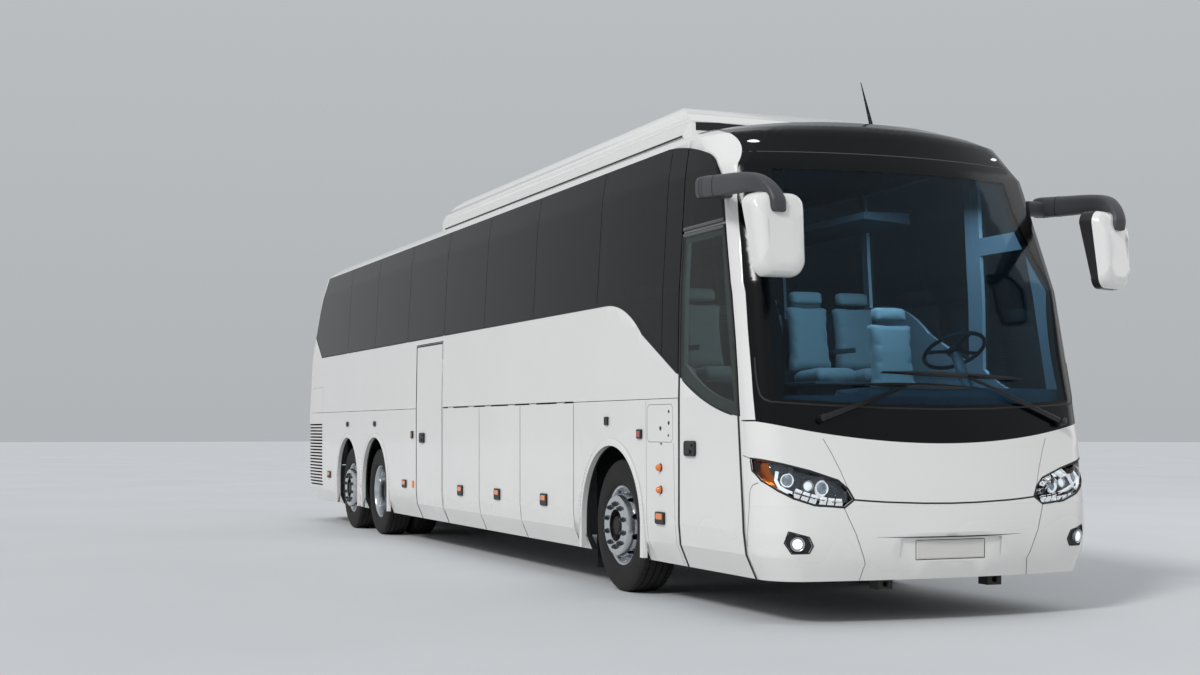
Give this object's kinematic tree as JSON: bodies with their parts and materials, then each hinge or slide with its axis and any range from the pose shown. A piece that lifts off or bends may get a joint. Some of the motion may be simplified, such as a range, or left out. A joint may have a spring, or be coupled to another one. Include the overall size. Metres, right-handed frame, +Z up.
{
  "type": "three-axle touring coach",
  "caption": "White high-deck touring coach on three axles with a wave-shaped dark glass band, plug door, luggage hatches, roof pod and drooping mirrors.",
  "frame": {"origin": "on the ground under the middle of the overall box, mirrors included", "axes": "+Z up, the nose towards -Y, the passenger doors on the -X side"},
  "size_m": [2.98, 14.41, 3.8088],
  "materials": {
    "white_paint": "gloss",
    "black_panel": "gloss",
    "tinted_glass": "gloss",
    "screen_glass": "gloss",
    "lamp_lens": "gloss",
    "signal_lens": "gloss",
    "black_rubber": "matt",
    "polished_alloy": "polished",
    "chassis_steel": "satin",
    "floor_board": "matt",
    "seat_cloth": "matt",
    "grey_trim": "satin",
    "cast_iron": "matt"
  },
  "bodies": {
    "root": {"chassis": "chassis_steel", "luggage_hold": "floor_board", "saloon_floor": "floor_board", "platform_and_steps": "floor_board", "wheel_houses": "floor_board", "side_panel_front_right": "white_paint", "side_panel_front_left": "white_paint", "side_panel_rear_right": "white_paint", "side_panel_rear_left": "white_paint", "side_frame_right": "white_paint", "side_frame_left": "white_paint", "side_glass_right": "tinted_glass", "side_glass_left": "tinted_glass", "roof": "white_paint", "roof_pod": "white_paint", "front_cap": "black_panel", "windscreen_pillars": "white_paint", "windscreen": "screen_glass", "mask": "white_paint", "bumper": "white_paint", "front_lamps": "lamp_lens", "side_and_tail_lamps": "signal_lens", "mirrors": "grey_trim", "wipers": "black_panel", "rear_wall": "white_paint", "rear_window": "tinted_glass", "rear_bumper": "white_paint", "dashboard": "grey_trim", "seats": "seat_cloth", "luggage_racks": "grey_trim", "front_axle": "chassis_steel", "rear_axles": "chassis_steel", "engine": "cast_iron", "mudflaps": "black_rubber"},
    "door_arms": {"door_arms": "chassis_steel"},
    "front_door": {"front_door": "white_paint", "front_door_glass": "tinted_glass"},
    "mid_door": {"mid_door": "white_paint"},
    "hatch_right_1": {"hatch_right_1": "white_paint"},
    "hatch_right_2": {"hatch_right_2": "white_paint"},
    "hatch_right_3": {"hatch_right_3": "white_paint"},
    "hatch_left_1": {"hatch_left_1": "white_paint"},
    "hatch_left_2": {"hatch_left_2": "white_paint"},
    "hatch_left_3": {"hatch_left_3": "white_paint"},
    "engine_lid": {"engine_lid": "white_paint"},
    "steering_wheel": {"steering_wheel": "grey_trim"},
    "knuckle_left": {"knuckle_left": "cast_iron"},
    "knuckle_right": {"knuckle_right": "cast_iron"},
    "wheel_front_left": {"tyre_front_left": "black_rubber", "rim_front_left": "polished_alloy"},
    "wheel_front_right": {"tyre_front_right": "black_rubber", "rim_front_right": "polished_alloy"},
    "wheel_drive_left": {"tyre_drive_left": "black_rubber", "rim_drive_left": "polished_alloy"},
    "wheel_drive_right": {"tyre_drive_right": "black_rubber", "rim_drive_right": "polished_alloy"},
    "wheel_tag_left": {"tyre_tag_left": "black_rubber", "rim_tag_left": "polished_alloy"},
    "wheel_tag_right": {"tyre_tag_right": "black_rubber", "rim_tag_right": "polished_alloy"}
  },
  "joints": [
    {"name": "front_door_swing", "type": "hinge", "parent": "root", "child": "door_arms", "pos_m": [-1.1, -6.365, 1], "axis": [0, 0, 1], "range_deg": [0, 115]},
    {"name": "front_door_leaf", "type": "hinge", "parent": "door_arms", "child": "front_door", "pos_m": [-1.1, -5.865, 1], "axis": [0, 0, 1], "range_deg": [-115, 0]},
    {"name": "mid_door_swing", "type": "hinge", "parent": "root", "child": "mid_door", "pos_m": [-1.295, 0.33, 1.3], "axis": [0, 0, 1], "range_deg": [0, 88]},
    {"name": "hatch_right_1_lift", "type": "hinge", "parent": "root", "child": "hatch_right_1", "pos_m": [-1.295, -2.845, 1.5], "axis": [0, 1, 0], "range_deg": [0, 90]},
    {"name": "hatch_right_2_lift", "type": "hinge", "parent": "root", "child": "hatch_right_2", "pos_m": [-1.295, -1.555, 1.5], "axis": [0, 1, 0], "range_deg": [0, 90]},
    {"name": "hatch_right_3_lift", "type": "hinge", "parent": "root", "child": "hatch_right_3", "pos_m": [-1.295, -0.3075, 1.5], "axis": [0, 1, 0], "range_deg": [0, 90]},
    {"name": "hatch_left_1_lift", "type": "hinge", "parent": "root", "child": "hatch_left_1", "pos_m": [1.295, -2.845, 1.5], "axis": [0, -1, 0], "range_deg": [0, 90]},
    {"name": "hatch_left_2_lift", "type": "hinge", "parent": "root", "child": "hatch_left_2", "pos_m": [1.295, -1.555, 1.5], "axis": [0, -1, 0], "range_deg": [0, 90]},
    {"name": "hatch_left_3_lift", "type": "hinge", "parent": "root", "child": "hatch_left_3", "pos_m": [1.295, -0.3075, 1.5], "axis": [0, -1, 0], "range_deg": [0, 90]},
    {"name": "engine_lid_lift", "type": "hinge", "parent": "root", "child": "engine_lid", "pos_m": [0, 7.195, 1.5], "axis": [1, 0, 0], "range_deg": [0, 80]},
    {"name": "steer_left", "type": "hinge", "parent": "root", "child": "knuckle_left", "pos_m": [0.955, -4.391, 0.522], "axis": [0, 0, 1], "range_deg": [-42, 42]},
    {"name": "steer_right", "type": "hinge", "parent": "root", "child": "knuckle_right", "pos_m": [-0.955, -4.391, 0.522], "axis": [0, 0, 1], "range_deg": [-42, 42]},
    {"name": "wheel_front_left_spin", "type": "hinge", "parent": "knuckle_left", "child": "wheel_front_left", "pos_m": [1.095, -4.391, 0.522], "axis": [1, 0, 0], "continuous": true},
    {"name": "wheel_front_right_spin", "type": "hinge", "parent": "knuckle_right", "child": "wheel_front_right", "pos_m": [-1.095, -4.391, 0.522], "axis": [1, 0, 0], "continuous": true},
    {"name": "wheel_drive_left_spin", "type": "hinge", "parent": "root", "child": "wheel_drive_left", "pos_m": [1.095, 3.22, 0.522], "axis": [1, 0, 0], "continuous": true},
    {"name": "wheel_drive_right_spin", "type": "hinge", "parent": "root", "child": "wheel_drive_right", "pos_m": [-1.095, 3.22, 0.522], "axis": [1, 0, 0], "continuous": true},
    {"name": "wheel_tag_left_spin", "type": "hinge", "parent": "root", "child": "wheel_tag_left", "pos_m": [1.095, 4.616, 0.522], "axis": [1, 0, 0], "continuous": true},
    {"name": "wheel_tag_right_spin", "type": "hinge", "parent": "root", "child": "wheel_tag_right", "pos_m": [-1.095, 4.616, 0.522], "axis": [1, 0, 0], "continuous": true},
    {"name": "steering_wheel_turn", "type": "hinge", "parent": "root", "child": "steering_wheel", "pos_m": [0.65, -6.185, 1.85], "axis": [0, 0.5299, 0.848], "range_deg": [-630, 630]}
  ],
  "couplings": [
    {"joint": "front_door_leaf", "follows": "front_door_swing", "ratio": -1},
    {"joint": "steer_right", "follows": "steer_left", "ratio": 1},
    {"joint": "steering_wheel_turn", "follows": "steer_left", "ratio": 15}
  ]
}
